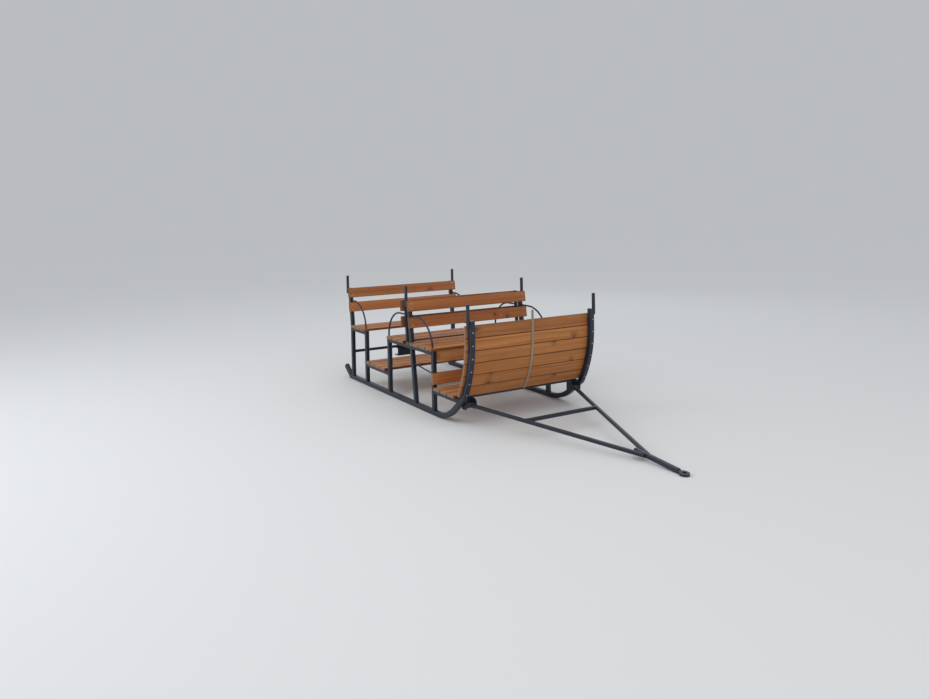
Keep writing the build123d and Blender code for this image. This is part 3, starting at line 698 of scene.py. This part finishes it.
for node_name, obj in nodes.items():
    if node_name in BOARDS or node_name == PIN_NODE:
        continue
    if node_name in ROUND_NODES:
        obj.data.materials.clear()
        obj.data.materials.append(steel)
        for face in obj.data.polygons:
            face.use_smooth = True
        obj.data.set_sharp_from_angle(angle=ROUND_SHARP_ANGLE)
        continue
    material = strip_paint if node_name == STRIP_NODE else steel
    piece = mesh_object("steel_" + node_name, eased_mesh(node_name, STEEL_EASE), material)
    even_normals(piece.data)
    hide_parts(node_name)
    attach(piece, body_name(node_name))

# Weld beads where one tube ends against another: the node and the way that its welded end faces

WELDED_ENDS = (
    ("rear_back_posts", -UP),
    ("rear_seat_front_legs", -UP),
    ("middle_seat_rear_legs", -UP),
    ("middle_seat_rear_legs", UP),
    ("middle_seat_centre_legs", -UP),
    ("middle_seat_centre_legs", UP),
    ("middle_seat_front_legs", -UP),
    ("forward_back_posts", -UP),
    ("rearward_back_posts", -UP),
    ("rear_seat_rails", -AHEAD),
    ("rear_seat_rails", AHEAD),
    ("middle_seat_rails", AHEAD),
    ("rear_deck_rails", -AHEAD),
    ("rear_deck_rails", AHEAD),
    ("front_deck_rails", -AHEAD),
    ("rear_cross_bar", -LEFT),
    ("front_cross_tube", -LEFT),
    ("drawbar_cross_brace", -LEFT),
    ("drawbar_tube_right", LEFT),
    ("coupling_eye", -AHEAD),
)
WELD_RADIUS = 0.0032
WELD_STEP = 0.0035
WELD_SIDES = 6
WELD_RIPPLE = 0.10
WELD_SEED = 5
SAME_WAY = 0.001
MIDDLE_REACH = 0.001


def end_corners(node_name, way):
    """The corners of the end that faces one way, on the right side or in the middle."""
    bm = merged_mesh(node_name)
    faces = [face for face in bm.faces if face.calc_center_median().y < MIDDLE_REACH]
    nearest = max(face.normal.dot(way) for face in faces)
    facing = [face for face in faces if face.normal.dot(way) > nearest - SAME_WAY]
    end = max(facing, key=lambda face: face.calc_area())
    corners = [vert.co.copy() for vert in end.verts]
    bm.free()
    return corners


def weld_bead(bm, corners, rng):
    """A closed bead along the corners, with the ripples that a welder leaves."""
    points = []
    for start, stop in zip(corners, corners[1:] + corners[:1]):
        steps = max(1, round((stop - start).length / WELD_STEP))
        points += [start.lerp(stop, step / steps) for step in range(steps)]
    across = geometry.normal(corners)
    rings = []
    for index, point in enumerate(points):
        ahead = (points[(index + 1) % len(points)] - points[index - 1]).normalized()
        ripple = WELD_RIPPLE * (-1) ** index + rng.uniform(-WELD_RIPPLE, WELD_RIPPLE)
        radius = WELD_RADIUS * (1.0 + ripple)
        rings.append(vertex_ring(bm, point, across, ahead.cross(across), radius, WELD_SIDES))
    for ring, other in zip(rings, rings[1:] + rings[:1]):
        bridge(bm, ring, other)


weld_rng = random.Random(WELD_SEED)
welds = {"sleigh": bmesh.new(), "drawbar": bmesh.new()}
for node_name, way in WELDED_ENDS:
    bm = welds[body_name(node_name)]
    corners = end_corners(node_name, way)
    weld_bead(bm, corners, weld_rng)
    if max(corner.y for corner in corners) < 0:
        weld_bead(bm, [Vector((corner.x, -corner.y, corner.z)) for corner in corners], weld_rng)
for body, bm in welds.items():
    bmesh.ops.recalc_face_normals(bm, faces=bm.faces)
    beads = mesh_object(body + "_weld_beads", bm, steel)
    even_normals(beads.data)
    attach(beads, body)

# Hinge bolts: a shank and a hexagon head inside each pair of ears

SHANK_RADIUS = 0.008
SHANK_SIDES = 32
HEX_SIDES = 6
HEX_HEIGHT = 0.006
HEX_CHAMFER = 0.0014
HEX_TIP_SHARE = 0.86
HEX_SHARP_ANGLE = math.radians(20)

pin_low, pin_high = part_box(PIN_NODE)
pin_inner_y, pin_outer_y = side_reach(PIN_NODE)
pin_middle = Vector(((pin_low[0] + pin_high[0]) / 2, 0.0, (pin_low[2] + pin_high[2]) / 2))
hex_radius = (pin_high[0] - pin_low[0]) / 2


def prism(bm, sides, stations):
    """A prism around the hinge's axis, with a ring at each reach along it and radius."""
    rings = []
    for reach, radius in stations:
        rings.append(vertex_ring(bm, pin_middle + LEFT * reach, AHEAD, UP, radius, sides))
    closed_row(bm, rings)


bolts = bmesh.new()
for side in SIDES:
    head_y = side * (pin_inner_y + HEX_HEIGHT)
    chamfer_y = side * (pin_inner_y + HEX_CHAMFER)
    tip = (side * pin_inner_y, hex_radius * HEX_TIP_SHARE)
    prism(bolts, SHANK_SIDES, ((side * pin_outer_y, SHANK_RADIUS), (head_y, SHANK_RADIUS)))
    prism(bolts, HEX_SIDES, ((head_y, hex_radius), (chamfer_y, hex_radius), tip))
bmesh.ops.recalc_face_normals(bolts, faces=bolts.faces)
hinge_bolts = mesh_object("hinge_bolts", bolts, dull_steel)
hinge_bolts.data.set_sharp_from_angle(angle=HEX_SHARP_ANGLE)
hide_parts(PIN_NODE)
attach(hinge_bolts, "sleigh")

# Floor

FLOOR_SHADE = 0.71
FLOOR_ROUGHNESS = 0.9
FLOOR_HALF_WIDTH = 60.0

ground = Graph("pale_floor")
ground.set(
    Base_Color=(FLOOR_SHADE, FLOOR_SHADE, FLOOR_SHADE, 1.0),
    Roughness=FLOOR_ROUGHNESS,
    Specular_IOR_Level=0.0,
)
floor_mesh = bmesh.new()
bmesh.ops.create_grid(floor_mesh, x_segments=1, y_segments=1, size=FLOOR_HALF_WIDTH)
floor = mesh_object("floor", floor_mesh, ground.material)

# The sky lights the scene, and the camera sees it in the floor's own shade, so no horizon shows

SKY_COLOUR = (0.94, 0.97, 1.0)
SKY_STRENGTH = 0.74

world = bpy.data.worlds.new("studio")
bpy.context.scene.world = world
world.use_nodes = True
world_tree = world.node_tree
sky = world_tree.nodes["Background"]
seen_sky = world_tree.nodes.new("ShaderNodeBackground")
for background, strength in ((sky, SKY_STRENGTH), (seen_sky, SKY_STRENGTH * FLOOR_SHADE)):
    background.inputs["Color"].default_value = (*SKY_COLOUR, 1.0)
    background.inputs["Strength"].default_value = strength
ray = world_tree.nodes.new("ShaderNodeLightPath")
choice = world_tree.nodes.new("ShaderNodeMixShader")
world_tree.links.new(ray.outputs["Is Camera Ray"], choice.inputs[0])
world_tree.links.new(sky.outputs[0], choice.inputs[1])
world_tree.links.new(seen_sky.outputs[0], choice.inputs[2])
world_tree.links.new(choice.outputs[0], world_tree.nodes["World Output"].inputs[0])

# Lamps: large soft disks, all turned to one point low in the sleigh

LAMP_TARGET = Vector((0.0, 0.0, 0.3))


def disk_lamp(name, place, size, power, colour):
    light = bpy.data.lights.new(name, "AREA")
    light.shape = "DISK"
    light.size = size
    light.energy = power
    light.color = colour
    obj = bpy.data.objects.new(name, light)
    obj.location = place
    obj.rotation_euler = (LAMP_TARGET - Vector(place)).to_track_quat("-Z", "Y").to_euler()
    bpy.context.scene.collection.objects.link(obj)


disk_lamp("key", place=(-0.5, -6.5, 4.5), size=6.0, power=200.0, colour=(0.96, 0.98, 1.0))
disk_lamp("front", place=(6.0, 0.0, 5.5), size=5.0, power=60.0, colour=(1.0, 0.985, 0.96))
disk_lamp("fill", place=(-5.0, 5.0, 5.0), size=6.0, power=36.0, colour=(0.92, 0.96, 1.0))

# Camera. The photograph is a cut from a larger one, so its middle isn't the middle of the lens.
# Angles are in radians.

CAMERA_PLACE = (4.8814, -3.6300, 1.6378)
CAMERA_YAW = 2.65624
CAMERA_PITCH = 0.02537
CAMERA_ROLL = -0.02142
CAMERA_FOCAL_PX = 722.50
LENS_MIDDLE_PX = (388.07, 233.25)
FRAME_PX = (929, 699)
SENSOR_WIDTH_MM = 36.0

forward = Vector((
    math.cos(CAMERA_YAW) * math.cos(CAMERA_PITCH),
    math.sin(CAMERA_YAW) * math.cos(CAMERA_PITCH),
    -math.sin(CAMERA_PITCH),
))
level = Vector((math.sin(CAMERA_YAW), -math.cos(CAMERA_YAW), 0.0))
above = level.cross(forward)
right = math.cos(CAMERA_ROLL) * level + math.sin(CAMERA_ROLL) * above
up = -math.sin(CAMERA_ROLL) * level + math.cos(CAMERA_ROLL) * above
camera_data = bpy.data.cameras.new("camera")
camera_data.sensor_width = SENSOR_WIDTH_MM
camera_data.lens = CAMERA_FOCAL_PX * SENSOR_WIDTH_MM / FRAME_PX[0]
camera_data.shift_x = (FRAME_PX[0] / 2 - LENS_MIDDLE_PX[0]) / FRAME_PX[0]
camera_data.shift_y = (LENS_MIDDLE_PX[1] - FRAME_PX[1] / 2) / FRAME_PX[0]
camera = bpy.data.objects.new("camera", camera_data)
turn = Matrix((right, up, -forward)).transposed().to_4x4()
camera.matrix_world = Matrix.Translation(CAMERA_PLACE) @ turn
bpy.context.scene.collection.objects.link(camera)
bpy.context.scene.camera = camera
bpy.context.scene.view_settings.view_transform = "Standard"

bpy.context.view_layer.update()
